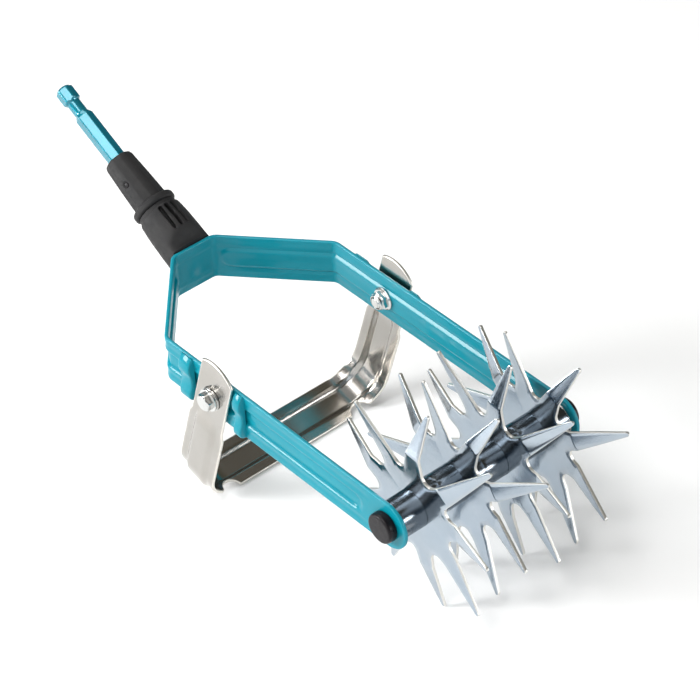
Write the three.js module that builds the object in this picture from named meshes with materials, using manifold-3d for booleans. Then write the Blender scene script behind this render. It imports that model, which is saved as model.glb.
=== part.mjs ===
// Quick-coupling star tiller head: four nine-toothed star wheels on an axle in a strip-steel
// yoke, a U-shaped swinging weeding blade behind them, and a hexagonal tang with a plastic
// sleeve. Millimetres, +Z up, X along the axle, handle towards +Y.
import * as THREE from 'three';
import { mergeVertices } from 'three/addons/utils/BufferGeometryUtils.js';
import Module from 'manifold-3d';

const wasm = await Module();
wasm.setup();

// ---- driving dimensions -------------------------------------------------------------
const GAP = 0.3;                 // clearance kept between neighbouring pieces
const LEG_OUT = 70;              // outer face of a yoke leg, from the middle plane
const STRIP_T = 2.5;             // yoke strip thickness
const STRIP_H = 32.7;            // yoke strip height
const BEND_Y = 205.4;            // axle to leg bend
const WEB_Y = 266.3;             // axle to the outside of the web
const WEB_HALF = 16;             // half width of the web at its bends
const PIVOT_Y = 156.8;           // axle to blade pivot
const BEAD_H = 16;               // height of the pressed bead
const BEAD_D = 1.2;              // depth of the pressed bead
const PAD_T = 5;                 // stop pad stands this far out of the leg
const PADS = [[129, 136.2], [177.4, 188]];   // stop pads along the leg
const AXLE_R = 5;
const CAP_R = 10;
const TUBE_R = 12.5;             // bright tube round the axle
const TUBE_BORE = 10.5;
const STAR_T = 2;                // star plate thickness
const STAR_X0 = -48.4;           // first star wheel, from the middle plane
const STAR_STEP = 32.2;          // star wheel spacing
const HUB_R = 29.3;              // flat middle of a star, to the chord between two tooth gaps
const TIP_R = 73.2;              // tooth tip before bending
const TEETH = 9;
const FOLD_R = [40, 36, 45, 38, 36, 38, 40, 38, 40];      // each tooth is bent along this chord
const SPREAD = [10, -6.8, 6.6, 16.5, -8.6, -4.5, 5.4, 9, -4.5];  // tip offset along the axle
// half width of a flat tooth at each radius
const TOOTH = [[29, 9.7], [31, 8.8], [33.5, 7.7], [37, 6.6], [56, 3.9], [71.6, 1.7], [73.2, 0.8]];
const STAR_PHASE = 15.4;         // first tooth of the first star, degrees above +Y
const BLADE_T = 2;
const BLADE_W = 32;              // blade strip width
const ARM_W = 28.4;              // width of an arm's upper part, round its pivot
const RIB_W = 18;                // width of the blade's pressed bead
const RIB_D = 1.2;               // depth of the blade's pressed bead
const BLADE_IN = 71.6;           // inner face of a blade arm
const BLADE_DROP = 97;           // pivot to the underside of the crosspiece
const BLADE_UP = 29.8;           // pivot to the top of an arm
const CROWN_R = 22;              // arm tops are rounded to this radius
const BLADE_CORNER = 24;         // outer corner radius
const BLADE_ANGLE = 17.2;        // arms lean back by this angle at rest, against the pads
const NOTCH_R = 6.5;              // cut-outs in the cutting edge
const NOTCH_X = 54;
const HANDLE_ANGLE = 27;         // handle axis above the yoke's plane
const HANDLE_Z = 7.4;            // where the handle axis meets the web
const TANG_L = 143;
const PIN_AT = 61.4;             // sleeve pin, along the handle
const PIN_TURN = -Math.PI / 3;   // the sleeve's pin sits on the next flat of the hexagon
const STAND_ANGLE = 8.08;        // the head stands on its tooth tips and the blade's edge

// ---- solids -------------------------------------------------------------------------
// a profile drawn either way round, or a mirrored copy, ends with its faces outward
const turnOutward = (g) => {
  const i = g.index.array;
  const p = [0, 1, 2].map(() => new THREE.Vector3());
  let volume = 0;
  for (let k = 0; k < i.length; k += 3) {
    p.forEach((v, n) => v.fromBufferAttribute(g.attributes.position, i[k + n]));
    volume += p[0].dot(p[1].clone().cross(p[2]));
  }
  if (volume < 0) {
    for (let k = 0; k < i.length; k += 3) [i[k], i[k + 1]] = [i[k + 1], i[k]];
  }
  return g;
};
const solid = (g) => {
  const c = g.clone();
  c.deleteAttribute('normal');
  c.deleteAttribute('uv');
  const m = mergeVertices(c, 1e-4);
  turnOutward(m);
  return new wasm.Manifold(new wasm.Mesh({
    numProp: 3,
    vertProperties: new Float32Array(m.attributes.position.array),
    triVerts: new Uint32Array(m.index.array),
  }));
};
const back = (s) => {
  const m = s.getMesh();
  const g = new THREE.BufferGeometry();
  g.setAttribute('position', new THREE.BufferAttribute(new Float32Array(m.vertProperties), 3));
  g.setIndex(new THREE.BufferAttribute(new Uint32Array(m.triVerts), 1));
  return g;
};
const box = (x0, x1, y0, y1, z0, z1) => solid(
  new THREE.BoxGeometry(x1 - x0, y1 - y0, z1 - z0)
    .translate((x0 + x1) / 2, (y0 + y1) / 2, (z0 + z1) / 2));
const extrude = (pts, depth) => new THREE.ExtrudeGeometry(
  new THREE.Shape(pts.map(([a, b]) => new THREE.Vector2(a, b))),
  { depth, bevelEnabled: false, curveSegments: 1 });
// disc or ring with its axis along X
const rodX = (r, x0, x1, n = 24, y = 0, z = 0) => solid(
  new THREE.CylinderGeometry(r, r, x1 - x0, n).rotateZ(Math.PI / 2)
    .translate((x0 + x1) / 2, y, z));
const hexX = (flats, x0, x1, y = 0) => solid(
  new THREE.CylinderGeometry(flats / Math.sqrt(3), flats / Math.sqrt(3), x1 - x0, 6)
    .rotateZ(Math.PI / 2).translate((x0 + x1) / 2, y, 0));
// closed profile in (radius, axial position), turned about X
const turnX = (pts, n = 28) => solid(new THREE.LatheGeometry(
  pts.map(([r, x]) => new THREE.Vector2(Math.max(r, 0), x)), n).rotateZ(-Math.PI / 2));
const arc = (cx, cy, r, a0, a1, n) => Array.from({ length: n + 1 }, (_, i) => {
  const a = (a0 + (a1 - a0) * i / n) * Math.PI / 180;
  return [cx + r * Math.cos(a), cy + r * Math.sin(a)];
});
const slab = (y0, y1, h, x0, x1) => {        // stadium in the YZ plane, from x0 to x1
  const r = h / 2;
  const pts = [...arc(y1 - r, 0, r, -90, 90, 8), ...arc(y0 + r, 0, r, 90, 270, 8)];
  return solid(extrude(pts, x1 - x0).rotateY(Math.PI / 2).rotateX(Math.PI / 2)
    .translate(x0, 0, 0));
};

// ---- materials ----------------------------------------------------------------------
const mat = (color, roughness, metalness) =>
  new THREE.MeshStandardMaterial({ color, roughness, metalness });
const teal = mat(0x1c8ea6, 0.28, 0.1);
const tealMetal = mat(0x35b3cd, 0.3, 0.8);
const black = mat(0x2c2c2e, 0.6, 0);
const stainless = mat(0xbdb8af, 0.3, 1);
const zinc = mat(0xb8c4d0, 0.28, 1);
const boltZinc = mat(0xc6c6c2, 0.35, 1);
const dark = mat(0x232326, 0.5, 0);

const head = new THREE.Group();
head.name = 'head';
const put = (name, s, material) => {
  const g = s.isBufferGeometry ? s : back(s);
  const m = new THREE.Mesh(g, material);
  m.name = name;
  head.add(m);
  return m;
};

// ---- yoke ---------------------------------------------------------------------------
{
  const half = STRIP_H / 2;
  // centre line of the strip, near leg to far leg
  const c = STRIP_T / 2;
  const line = [[-(LEG_OUT - c), -half], [-(LEG_OUT - c), BEND_Y], [-WEB_HALF, WEB_Y - c],
    [WEB_HALF, WEB_Y - c], [LEG_OUT - c, BEND_Y], [LEG_OUT - c, -half]];
  // rounds a corner of the centre line
  const rounded = [line[0]];
  for (let i = 1; i < line.length - 1; i++) {
    const p = new THREE.Vector2(...line[i]);
    const a = new THREE.Vector2(...line[i - 1]).sub(p).normalize();
    const b = new THREE.Vector2(...line[i + 1]).sub(p).normalize();
    const turn = Math.acos(a.dot(b));
    const r = i === 2 || i === 3 ? 5 : 9;
    const t = r / Math.tan(turn / 2);
    const p0 = p.clone().addScaledVector(a, t);
    const p1 = p.clone().addScaledVector(b, t);
    for (let k = 0; k <= 5; k++) {
      const u = k / 5;
      rounded.push([
        p0.x * (1 - u) ** 2 + 2 * p.x * u * (1 - u) + p1.x * u * u,
        p0.y * (1 - u) ** 2 + 2 * p.y * u * (1 - u) + p1.y * u * u]);
    }
  }
  rounded.push(line[line.length - 1]);
  const offset = (d) => rounded.map((q, i) => {
    const a = rounded[Math.max(i - 1, 0)];
    const b = rounded[Math.min(i + 1, rounded.length - 1)];
    const n = Math.hypot(b[0] - a[0], b[1] - a[1]);
    return [q[0] - d * (b[1] - a[1]) / n, q[1] + d * (b[0] - a[0]) / n];
  });
  let strip = solid(extrude([...offset(c), ...offset(-c).reverse()], STRIP_H)
    .translate(0, 0, -half));
  // leg ends and the whole strip's side outline
  const side = [...arc(0, 0, half, 90, 270, 20).reverse(), [WEB_Y + 5, half], [WEB_Y + 5, -half]];
  const outline = solid(extrude(side.map(([y, z]) => [y, z]), 2 * LEG_OUT + 20)
    .rotateY(Math.PI / 2).rotateX(Math.PI / 2).translate(-LEG_OUT - 10, 0, 0));
  strip = strip.intersect(outline);
  for (const s of [-1, 1]) {
    const x = (a, b) => (s > 0 ? [a, b] : [-b, -a]);
    // pressed bead: a groove along the outer face that stands out on the inner one
    strip = strip.add(slab(24, 197, BEAD_H - 2, ...x(LEG_OUT - STRIP_T - BEAD_D,
      LEG_OUT - STRIP_T + 0.5)));
    strip = strip.subtract(slab(23, 198, BEAD_H, ...x(LEG_OUT - BEAD_D, LEG_OUT + 4)));
    for (const [y0, y1] of PADS) {
      strip = strip.add(box(...x(LEG_OUT - 2, LEG_OUT + PAD_T), y0, y1, -half, half));
      strip = strip.subtract(box(...x(LEG_OUT - 0.5, LEG_OUT + PAD_T - 2.2),
        y0 + 2.4, y1 - 2.4, -half - 1, half - 5));
    }
    // the same bead along the diagonal
    const across = LEG_OUT - WEB_HALF;
    const along = WEB_Y - BEND_Y;
    const lean = Math.atan2(across, along);
    const diagonal = (trim, h, x0, x1) => {
      const l = Math.hypot(across, along) / 2 - trim;
      return solid(back(slab(-l, l, h, x0, x1)).rotateZ(s > 0 ? lean : Math.PI - lean)
        .translate(s * (across / 2 + WEB_HALF - c * Math.cos(lean)),
          (BEND_Y + WEB_Y) / 2 - c * Math.sin(lean), 0));
    };
    strip = strip.add(diagonal(12, BEAD_H - 2, -c - BEAD_D, 0));
    strip = strip.subtract(diagonal(11, BEAD_H, c - BEAD_D, c + 4));
    // bores
    strip = strip.subtract(rodX(AXLE_R + GAP, ...x(60, 80), 24));
    strip = strip.subtract(rodX(4 + GAP, ...x(60, 80), 20, PIVOT_Y));
  }
  put('yoke_frame', strip, teal);
}

// ---- handle: tang and sleeves, modelled along +Z and leaned back ---------------------
const lean = (g) => g.rotateX(-(90 - HANDLE_ANGLE) * Math.PI / 180)
  .translate(0, WEB_Y, HANDLE_Z);
const behindWeb = box(-60, 60, WEB_Y + GAP, WEB_Y + 300, -60, 200);
const turnZ = (pts, n = 28) => solid(new THREE.LatheGeometry(
  pts.map(([r, z]) => new THREE.Vector2(r, z)), n));
const uprightZ = (s) => back(s).rotateX(Math.PI / 2);
{
  const hexRod = (flats, z0, z1) => solid(new THREE.CylinderGeometry(
    flats / Math.sqrt(3), flats / Math.sqrt(3), z1 - z0, 6).translate(0, (z0 + z1) / 2, 0));
  let tang = turnZ([[0, -20], [6, -20], [6, 70], [5.2, 70.5], [5.2, TANG_L - 4],
    [0, TANG_L - 4]], 32);
  tang = tang.add(hexRod(11.2, 60, 120.4));
  // chamfer cones round the rod's end and the knob
  const cone = (list) => turnZ(list, 32);
  tang = tang.intersect(cone([[0, -20], [9, -20], [9, 118.6], [5.2, 121.4], [5.2, 131.2],
    [8, 132], [8, TANG_L], [0, TANG_L]]));
  const knob = hexRod(11.4, 131.4, TANG_L).intersect(
    cone([[0, 131], [5.2, 131.4], [7, 132.9], [7, TANG_L - 2.4], [4.6, TANG_L], [0, TANG_L]]));
  tang = tang.add(knob).add(turnZ([[0, 110], [4.7, 110], [4.7, 133], [0, 133]], 24));
  put('tang', solid(lean(uprightZ(tang))).intersect(behindWeb), tealMetal);

  const bore = (r, z0, z1) => turnZ([[0, z0], [r, z0], [r, z1], [0, z1]], 32);
  const hollow = bore(7.1, -30, 200);
  let upper = turnZ([[0, 44.2], [12, 44.2], [11.4, 60], [10.2, 79.5], [9.6, 81.5], [0, 81.5]], 24)
    .subtract(hollow);
  upper = upper.subtract(solid(new THREE.CylinderGeometry(1.6 + GAP, 1.6 + GAP, 12, 20)
    .rotateX(Math.PI / 2).translate(0, PIN_AT, 12).rotateY(PIN_TURN)));
  put('upper_sleeve', solid(lean(uprightZ(upper))), black);
  const pin = solid(new THREE.CylinderGeometry(1.6, 1.6, 3.2, 20).rotateX(Math.PI / 2)
    .translate(0, PIN_AT, 9.6).rotateY(PIN_TURN));
  put('sleeve_pin', solid(lean(uprightZ(pin))), dark);
  const collar = turnZ([[0, 38.9], [14.2, 38.9], [15.1, 39.7], [15.1, 43.2], [14.5, 43.9],
    [0, 43.9]], 40).subtract(hollow);
  put('sleeve_collar', solid(lean(uprightZ(collar))), black);
  let lower = turnZ([[0, -25], [16.2, -25], [16.2, 8], [15.6, 26], [14.6, 35], [13.6, 36.2],
    [13.6, 38.6], [0, 38.6]], 40).subtract(hollow);
  for (const turn of [-18.5, 0, 18.5]) {
    const a = turn * Math.PI / 180;
    const slot = solid(extrude([[-1.1, 34.5], [1.1, 34.5], [0.6, 17], [-0.6, 17]].reverse(), 6)
      .translate(0, 0, 13.4).rotateY(a));
    lower = lower.subtract(slot);
  }
  put('lower_sleeve', solid(lean(uprightZ(lower))).intersect(
    box(-60, 60, WEB_Y + GAP, WEB_Y + 300, -STRIP_H / 2 + 2, 200)), black);
}

// ---- axle, tube and star wheels ------------------------------------------------------
put('axle_rod', rodX(AXLE_R, -LEG_OUT - 3.4, LEG_OUT + 3.4, 24), boltZinc);
for (const [name, s] of [['near', -1], ['far', 1]]) {
  const cap = turnX([[0, LEG_OUT + 3.8], [AXLE_R + GAP, LEG_OUT + 3.8], [AXLE_R + GAP,
    LEG_OUT + GAP], [CAP_R, LEG_OUT + GAP], [CAP_R, LEG_OUT + 4.6], [CAP_R - 0.6, LEG_OUT + 5.8],
  [CAP_R - 2, LEG_OUT + 6.2], [0, LEG_OUT + 6.2]].reverse(), 28);
  const g = back(cap);
  if (s < 0) g.rotateZ(Math.PI);
  put(`${name}_axle_cap`, g, dark);
  const w0 = LEG_OUT - STRIP_T - GAP;
  const washer = rodX(TUBE_R, w0 - 1.4, w0, 28).subtract(rodX(AXLE_R + GAP, w0 - 3, w0 + 2, 20));
  const wg = back(washer);
  if (s < 0) wg.rotateZ(Math.PI);
  put(`${name}_thrust_washer`, wg, boltZinc);
}
const starX = [0, 1, 2, 3].map((k) => STAR_X0 + k * STAR_STEP);
const tubeEnd = LEG_OUT - STRIP_T - 2 * GAP - 1.4;
const cuts = [-tubeEnd - STAR_T / 2 - GAP, ...starX, tubeEnd + STAR_T / 2 + GAP];
for (let k = 0; k < 5; k++) {
  const x0 = cuts[k] + STAR_T / 2 + GAP;
  const x1 = cuts[k + 1] - STAR_T / 2 - GAP;
  const ring = rodX(TUBE_R, x0, x1, 32).subtract(rodX(TUBE_BORE, x0 - 1, x1 + 1, 24));
  put(`tube_collar_${k + 1}`, ring, zinc);
}
for (const [name, s] of [['near', -1], ['far', 1]]) {
  const b = rodX(TUBE_BORE - GAP, tubeEnd - 12, tubeEnd, 24)
    .subtract(rodX(AXLE_R + GAP, tubeEnd - 14, tubeEnd + 2, 20));
  const g = back(b);
  if (s < 0) g.rotateZ(Math.PI);
  put(`${name}_bearing_bush`, g, dark);
}
// one star: flat hub plate and nine tapered teeth, each bent along its own chord
const star = (phase) => {
  const step = 2 * Math.PI / TEETH;
  const rim = HUB_R / Math.cos(step / 2);
  const disc = [];
  for (let k = 0; k < TEETH; k++) {
    const a = phase + (k - 0.5) * step;
    disc.push([rim * Math.cos(a), rim * Math.sin(a)]);
  }
  // local plate: first axis Y, second axis Z, thickness along X
  const plate = (pts) => extrude(pts, STAR_T).translate(0, 0, -STAR_T / 2);
  const place = new THREE.Matrix4().makeBasis(new THREE.Vector3(0, 1, 0),
    new THREE.Vector3(0, 0, 1), new THREE.Vector3(1, 0, 0));
  const width = (r) => {
    const i = TOOTH.findIndex((t, n) => n > 0 && t[0] >= r);
    const [[r0, w0], [r1, w1]] = [TOOTH[i - 1], TOOTH[i]];
    return w0 + (w1 - w0) * (r - r0) / (r1 - r0);
  };
  let body = solid(plate(disc));
  for (let k = 0; k < TEETH; k++) {
    const f = FOLD_R[k];
    const strip = (half) => plate([...half.map(([a, b]) => [a, -b]), ...half.slice().reverse()]);
    const root = strip([...TOOTH.filter(([r]) => r < f), [f, width(f)]]);
    const tip = strip([[f - 0.4, width(f) - 0.02], ...TOOTH.filter(([r]) => r > f)])
      .translate(-f, 0, 0).rotateY(-Math.asin(SPREAD[k] / (TIP_R - f))).translate(f, 0, 0);
    for (const g of [root, tip]) body = body.add(solid(g.rotateZ(phase + k * step)));
  }
  body = body.subtract(solid(new THREE.CylinderGeometry(7.5, 7.5, 10, 20).rotateX(Math.PI / 2)));
  return back(body).applyMatrix4(place);
};
for (let k = 0; k < 4; k++) {
  const phase = (STAR_PHASE + (k % 2) * 180 / TEETH) * Math.PI / 180;
  put(`star_wheel_${k + 1}`, star(phase).translate(starX[k], 0, 0), zinc);
}

// ---- weeding blade and its pivots ----------------------------------------------------
{
  const o = BLADE_IN + BLADE_T;
  const r = BLADE_CORNER;
  const w = BLADE_W / 2;
  // front view of a U-shaped strip, set outward by d, extruded across its width;
  // Y runs from the back edge to the front edge
  const strip = (d, thick, width) => {
    const [x, low, top] = [o + d, -BLADE_DROP - d, BLADE_UP + 1];
    const [e, q] = [r + d, r + d - thick];
    const outer = [[x, top], ...arc(x - e, low + e, e, 0, -90, 8),
      ...arc(-(x - e), low + e, e, -90, -180, 8), [-x, top]];
    const inner = [[-(x - thick), top], ...arc(-(x - e), low + e, q, -180, -90, 8),
      ...arc(x - e, low + e, q, -90, 0, 8), [x - thick, top]];
    return solid(extrude([...outer, ...inner], width).translate(0, 0, -width / 2)
      .rotateX(Math.PI / 2));
  };
  // side view of the arms, extruded through both
  const across = (pts) => solid(extrude(pts, 2 * o + 10).rotateY(Math.PI / 2)
    .rotateX(Math.PI / 2).translate(-o - 5, 0, 0));
  const edge = Math.acos(ARM_W / 2 / CROWN_R) * 180 / Math.PI;
  const crown = across([[-w, -BLADE_DROP - 5], [w, -BLADE_DROP - 5], [w, -29],
    [ARM_W / 2, -24], ...arc(0, BLADE_UP - CROWN_R, CROWN_R, edge, 180 - edge, 10),
    [-ARM_W / 2, -24], [-w, -29]]);
  let blade = strip(0, BLADE_T, BLADE_W).intersect(crown);
  // pressed bead: stands out of the outer face, from below one bolt round to the other
  const below = (top, h) => across([[-h, -BLADE_DROP - 5], [h, -BLADE_DROP - 5],
    ...arc(0, top - h, h, 0, 180, 10)]);
  blade = blade.add(strip(RIB_D, BLADE_T + 0.5, RIB_W).intersect(below(-17, RIB_W / 2)));
  const groove = RIB_W / 2 - 1.5;
  blade = blade.subtract(strip(RIB_D - BLADE_T, 3, RIB_W - 3)
    .intersect(below(-18.5, groove)));
  for (const s of [-1, 1]) {
    blade = blade.subtract(solid(new THREE.CylinderGeometry(NOTCH_R, NOTCH_R, 12, 24)
      .rotateX(Math.PI / 2).translate(s * NOTCH_X, -w, -BLADE_DROP)));
    blade = blade.subtract(rodX(4 + GAP, s > 0 ? 60 : -90, s > 0 ? 90 : -60, 20));
  }
  // ground cutting edge along the front of the crosspiece
  const lip = [[-w - 1, -BLADE_DROP + BLADE_T + 1], [-w - 1, -BLADE_DROP + 0.5],
    [-w + 5, -BLADE_DROP + BLADE_T + 0.01], [-w + 5, -BLADE_DROP + BLADE_T + 1]];
  blade = blade.subtract(solid(extrude(lip, 2 * (o - r)).rotateY(Math.PI / 2)
    .rotateX(Math.PI / 2).translate(-(o - r), 0, 0)));
  const g = back(blade).rotateX(BLADE_ANGLE * Math.PI / 180).translate(0, PIVOT_Y, 0);
  put('weeding_blade', g, stainless);
}
for (const [name, s] of [['near', -1], ['far', 1]]) {
  const flip = (b) => turnOutward(back(b).scale(s, 1, 1));
  const washer = rodX(9, LEG_OUT + GAP, BLADE_IN - GAP, 24, PIVOT_Y)
    .subtract(rodX(4 + GAP, LEG_OUT - 2, BLADE_IN + 2, 20, PIVOT_Y));
  put(`${name}_pivot_washer`, flip(washer), boltZinc);
  const h0 = BLADE_IN + BLADE_T + GAP;
  const inEnd = LEG_OUT - STRIP_T - BEAD_D - 7.8;
  const hexHead = hexX(10.6, h0 + 1, h0 + 7, PIVOT_Y).intersect(turnX([[0, h0], [6.3, h0],
    [6.3, h0 + 6.1], [5.1, h0 + 7], [0, h0 + 7]].reverse(), 28).translate(0, PIVOT_Y, 0));
  const bolt = rodX(4, inEnd, h0 + 1, 20, PIVOT_Y).add(rodX(8, h0, h0 + 2.8, 24, PIVOT_Y))
    .add(hexHead);
  put(`${name}_pivot_bolt`, flip(bolt), boltZinc);
  const n1 = LEG_OUT - STRIP_T - BEAD_D - GAP;
  // locking nut: flange, hexagon and a round crimped end
  let nut = hexX(11.6, n1 - 4.6, n1, PIVOT_Y).add(rodX(8, n1 - 1.5, n1, 24, PIVOT_Y))
    .add(rodX(5.4, n1 - 7, n1, 24, PIVOT_Y));
  nut = nut.subtract(rodX(4 + GAP, n1 - 9, n1 + 2, 20, PIVOT_Y));
  put(`${name}_pivot_nut`, flip(nut), boltZinc);
}

// ---- stand the head on its tooth tips and cutting edge, origin under its middle -------
const tilt = new THREE.Matrix4().makeRotationX(STAND_ANGLE * Math.PI / 180);
const bounds = new THREE.Box3();
for (const m of head.children) {
  m.geometry.applyMatrix4(tilt);
  m.geometry.computeBoundingBox();
  bounds.union(m.geometry.boundingBox);
}
const mid = bounds.getCenter(new THREE.Vector3());
head.position.set(-mid.x, -mid.y, -bounds.min.z);
head.updateMatrixWorld(true);

export default head;
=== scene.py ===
"""Star tiller head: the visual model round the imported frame.

Every piece is drawn in millimetres in the yoke's own frame (origin on the axle's middle,
X along the axle, Y towards the handle, Z up square to the yoke) and then carried into the
row frame, where the head stands on its tooth tips and the blade's cutting edge.
"""
import math
import bpy
import bmesh
from mathutils import Euler, Matrix, Vector


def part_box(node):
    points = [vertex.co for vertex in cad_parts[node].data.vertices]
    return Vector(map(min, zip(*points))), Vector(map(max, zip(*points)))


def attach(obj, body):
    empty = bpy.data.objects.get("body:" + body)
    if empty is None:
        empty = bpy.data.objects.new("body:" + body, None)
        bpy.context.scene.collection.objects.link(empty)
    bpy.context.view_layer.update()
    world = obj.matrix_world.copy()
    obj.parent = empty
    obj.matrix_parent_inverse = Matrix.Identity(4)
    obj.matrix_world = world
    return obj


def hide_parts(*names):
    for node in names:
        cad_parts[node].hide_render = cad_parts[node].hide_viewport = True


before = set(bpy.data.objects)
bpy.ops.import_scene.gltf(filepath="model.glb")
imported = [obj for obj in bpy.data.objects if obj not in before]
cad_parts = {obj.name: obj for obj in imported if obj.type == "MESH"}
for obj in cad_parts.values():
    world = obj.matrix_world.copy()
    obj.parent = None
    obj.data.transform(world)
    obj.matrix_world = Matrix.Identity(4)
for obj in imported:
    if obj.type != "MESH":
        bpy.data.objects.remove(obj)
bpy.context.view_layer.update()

# ---- the yoke's frame ------------------------------------------------------------------
TILT = math.radians(8.08)
a_lo, a_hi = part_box("axle_rod")
M = (Matrix.Translation((a_lo + a_hi) / 2) @ Matrix.Rotation(TILT, 4, "X")
     @ Matrix.Scale(0.001, 4))

LEG_OUT, STRIP_T, STRIP_H = 70.0, 2.5, 32.7
BEND_Y, WEB_Y, WEB_HALF, PIVOT_Y = 205.4, 266.3, 16.0, 156.8
PADS = ((129.0, 136.2), (177.4, 188.0))
TUBE_R, TUBE_END = 12.5, 65.5
STAR_T, STAR_X0, STAR_STEP, TEETH, TIP_R = 2.0, -48.4, 32.2, 9, 73.2
STAR_PHASE = 15.4
BLADE_T, BLADE_W, ARM_W, BLADE_IN = 2.0, 32.0, 28.4, 71.6
BLADE_DROP, BLADE_UP, BLADE_CORNER = 97.0, 29.8, 24.0
BLADE_ANGLE = math.radians(17.2)
HANDLE = (Matrix.Translation((0, WEB_Y, 7.4)) @ Matrix.Rotation(math.radians(-63), 4, "X"))
PIVOT = Matrix.Translation((0, PIVOT_Y, 0)) @ Matrix.Rotation(BLADE_ANGLE, 4, "X")
SIDES = (("near", -1), ("far", 1))


def smooth(t):
    t = min(max(t, 0.0), 1.0)
    return t * t * (3 - 2 * t)


def flank(t, b=0.2):
    """A straight slope from 0 to 1 with its two ends rounded off."""
    t = min(max(t, 0.0), 1.0)
    if t > 0.5:
        return 1 - flank(1 - t, b)
    return t * t / (2 * b * (1 - b)) if t < b else (t - b / 2) / (1 - b)


# ---- materials -------------------------------------------------------------------------
class Mat:
    """A Principled material with object coordinates in metres."""

    def __init__(self, name, **values):
        self.m = bpy.data.materials.new(name)
        self.m.use_nodes = True
        self.t = self.m.node_tree
        self.p = self.t.nodes["Principled BSDF"]
        self.co = self.add("ShaderNodeTexCoord").outputs["Object"]
        for k, v in values.items():
            self.p.inputs[k.replace("_", " ")].default_value = v

    def add(self, kind, **inputs):
        n = self.t.nodes.new(kind)
        for k, v in inputs.items():
            self.link(v, n.inputs[k]) if hasattr(v, "is_linked") else setattr(
                n.inputs[k], "default_value", v)
        return n

    def link(self, a, b):
        self.t.links.new(a, b)

    def stretched(self, scale):
        n = self.add("ShaderNodeMapping", Vector=self.co)
        n.inputs["Scale"].default_value = scale
        return n.outputs["Vector"]

    def noise(self, scale, detail=3.0, rough=0.55, vector=None):
        n = self.add("ShaderNodeTexNoise", Vector=vector or self.co, Scale=scale,
                     Detail=detail, Roughness=rough)
        return n.outputs["Fac"]

    def ramp(self, fac, stops):
        n = self.add("ShaderNodeValToRGB", Fac=fac)
        e = n.color_ramp.elements
        while len(e) < len(stops):
            e.new(0.5)
        for i, (at, c) in enumerate(stops):
            e[i].position = at
            e[i].color = (*c, 1) if isinstance(c, tuple) else (c, c, c, 1)
        return n.outputs["Color"]

    def mix(self, fac, a, b, blend="MIX"):
        n = self.t.nodes.new("ShaderNodeMix")
        n.data_type = "RGBA"
        n.blend_type = blend
        for sock, v in ((n.inputs[0], fac), (n.inputs[6], a), (n.inputs[7], b)):
            if hasattr(v, "is_linked"):
                self.link(v, sock)
            else:
                sock.default_value = (*v, 1) if isinstance(v, tuple) else v
        return n.outputs[2]

    def span(self, fac, low, high, a=0.3, b=0.7):
        n = self.add("ShaderNodeMapRange", Value=fac)
        for k, v in (("From Min", a), ("From Max", b), ("To Min", low), ("To Max", high)):
            n.inputs[k].default_value = v
        return n.outputs["Result"]

    def bump(self, *layers):
        last = None
        for height, distance, strength in layers:
            n = self.add("ShaderNodeBump", Height=height, Distance=distance,
                         Strength=strength)
            if last is not None:
                self.link(last, n.inputs["Normal"])
            last = n.outputs["Normal"]
        self.link(last, self.p.inputs["Normal"])

    # per-vertex edge value: positive on rounded rims, where the materials paint a highlight,
    # negative on slot floors, where the sleeve paints shade
    def edge(self):
        n = self.t.nodes.new("ShaderNodeAttribute")
        n.attribute_name = "edge"
        return n.outputs["Fac"]


def paint(name, deep, mid, light, rough=0.3):
    """Glossy stove enamel over strip steel."""
    k = Mat(name, Coat_Weight=0.28, Coat_Roughness=0.04, Specular_IOR_Level=0.08)
    tone = k.ramp(k.noise(18, 2), ((0.35, deep), (0.65, mid)))
    speck = k.ramp(k.noise(1400, 2), ((0.3, 0.965), (0.6, 1.0)))
    body = k.mix(1.0, tone, speck, "MULTIPLY")
    # rounded rims are mixed towards the light colour: a painted highlight along the strip's
    # edges
    k.link(k.mix(k.span(k.edge(), 0, 0.3, 0.3, 1), body, light), k.p.inputs["Base Color"])
    k.link(k.span(k.noise(120, 2), rough - 0.02, rough + 0.03), k.p.inputs["Roughness"])
    k.bump((k.noise(420, 2), 0.0002, 0.03))
    return k.m


def metal(name, low, high, rough, streak, cells=0.0, grain=0.12, edge=None, wave=0.02):
    """Bare or plated sheet: rolled streaks, faint crystals and small handling marks."""
    k = Mat(name, Metallic=1.0)
    lines = k.noise(40, 5, 0.7, k.stretched(streak))
    cloud = k.noise(30, 4)
    tone = k.ramp(cloud, ((0.32, low), (0.68, high)))
    shade = k.ramp(lines, ((0.3, 0.93), (0.7, 1.0)))
    body = k.mix(1.0, tone, shade, "MULTIPLY")
    if cells:
        v = k.add("ShaderNodeTexVoronoi", Vector=k.co, Scale=240.0)
        sp = k.ramp(v.outputs["Distance"], ((0.0, 1.0), (0.9, 1.0 - cells)))
        body = k.mix(1.0, body, sp, "MULTIPLY")
    # edge is a pale colour mixed in along rounded rims: a painted highlight
    if edge:
        body = k.mix(k.span(k.edge(), 0, 0.9, 0, 1), body, edge)
    k.link(body, k.p.inputs["Base Color"])
    scuff = k.noise(420, 6, 0.75)
    r = k.span(scuff, rough[0], rough[1], 0.35, 0.7)
    worn = k.add("ShaderNodeMath")
    worn.operation = "MAXIMUM"
    k.link(r, worn.inputs[0])
    k.link(k.span(k.edge(), 0, 0.42, 0.1, 0.6), worn.inputs[1])
    k.link(worn.outputs["Value"], k.p.inputs["Roughness"])
    k.bump((lines, 0.0004, grain), (k.noise(26, 1), 0.003, wave))
    return k.m


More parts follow.
